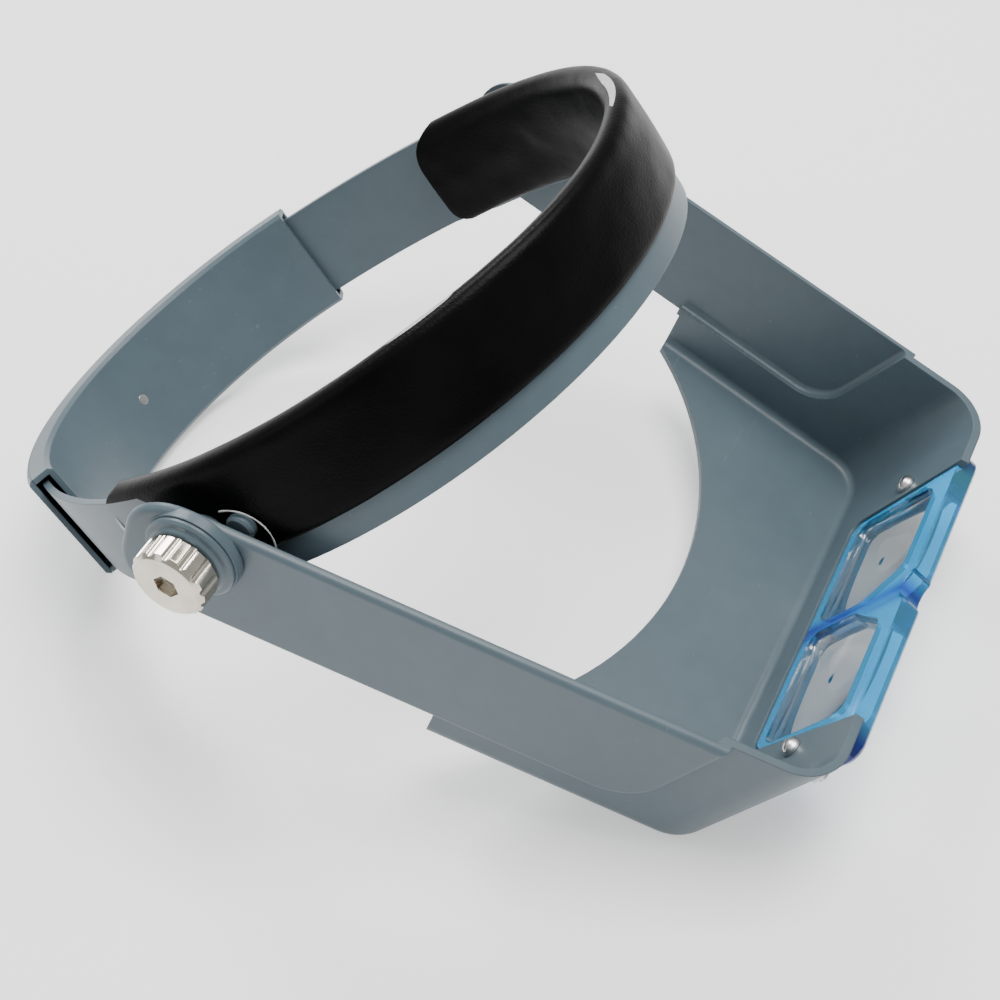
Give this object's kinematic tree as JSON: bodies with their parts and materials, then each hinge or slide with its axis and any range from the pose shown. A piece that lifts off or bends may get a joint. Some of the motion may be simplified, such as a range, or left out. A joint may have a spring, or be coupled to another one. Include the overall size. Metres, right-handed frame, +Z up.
{
  "type": "head visor magnifier",
  "caption": "Headband with padded brow and geared size adjuster, carrying a tilting hood with a slide-in twin-lens plate clamped by side knobs.",
  "frame": {"origin": "middle of the footprint of the whole object, at the height of the surface it lies on", "axes": "-Y towards the lenses, +X towards the wearer's left as worn the right way up turned over, +Z up as it lies upside down"},
  "size_m": [0.1968, 0.2422, 0.1329],
  "materials": {
    "shell": "satin grey-blue moulded plastic",
    "pad": "black leathercloth over foam, soft sheen",
    "chrome": "polished plating",
    "steel": "plain bright steel",
    "nylon": "satin grey-blue moulded plastic",
    "blue_acrylic": "translucent blue acrylic, polished edges",
    "lens": "clear polished"
  },
  "bodies": {
    "headband": {"head_band": "shell", "brow_pad": "pad", "sleeve_shell": "shell", "sleeve_cover": "shell", "left_spacer": "nylon", "right_spacer": "nylon", "left_pivot_screw": "steel", "right_pivot_screw": "steel", "left_stop_peg": "nylon", "right_stop_peg": "nylon", "rear_axle": "steel"},
    "visor": {"hood": "shell", "left_washer": "nylon", "right_washer": "nylon", "lens_screws": "chrome", "lens_nuts": "steel"},
    "clamp_knob_left": {"left_knob": "chrome"},
    "clamp_knob_right": {"right_knob": "chrome"},
    "lens_plate": {"lens_frame": "blue_acrylic", "left_lens": "lens", "right_lens": "lens"},
    "size_knob": {"rear_knob": "shell", "rear_pinion": "nylon"},
    "rack_left": {"left_rack": "nylon"},
    "rack_right": {"right_rack": "nylon"}
  },
  "joints": [
    {"name": "hood_tilt", "type": "hinge", "parent": "headband", "child": "visor", "pos_m": [0, 0.01932, 0.07678], "axis": [1, 0, 0], "range_deg": [-60, 30]},
    {"name": "left_knob_turn", "type": "hinge", "parent": "visor", "child": "clamp_knob_left", "pos_m": [-0.092, 0.01932, 0.07678], "axis": [-1, 0, 0], "range_deg": [0, 360]},
    {"name": "right_knob_turn", "type": "hinge", "parent": "visor", "child": "clamp_knob_right", "pos_m": [0.092, 0.01932, 0.07678], "axis": [1, 0, 0], "range_deg": [0, 360]},
    {"name": "lens_plate_slide", "type": "slide", "parent": "visor", "child": "lens_plate", "axis": [0, -0.6047, 0.7965], "range_m": [0, 0.045]},
    {"name": "size_knob_turn", "type": "hinge", "parent": "headband", "child": "size_knob", "pos_m": [0, 0.10667, 0.01463], "axis": [0, 0.8202, -0.5721], "range_deg": [-150, 150]},
    {"name": "left_rack_travel", "type": "hinge", "parent": "headband", "child": "rack_left", "pos_m": [0, 0.04916, 0.05475], "axis": [0, 0.5721, 0.8202], "range_deg": [-9.9, 9.9]},
    {"name": "right_rack_travel", "type": "hinge", "parent": "headband", "child": "rack_right", "pos_m": [0, 0.04916, 0.05475], "axis": [0, 0.5721, 0.8202], "range_deg": [-9.9, 9.9]}
  ],
  "couplings": [
    {"joint": "left_rack_travel", "follows": "size_knob_turn", "ratio": -0.065055},
    {"joint": "right_rack_travel", "follows": "size_knob_turn", "ratio": 0.063315}
  ]
}
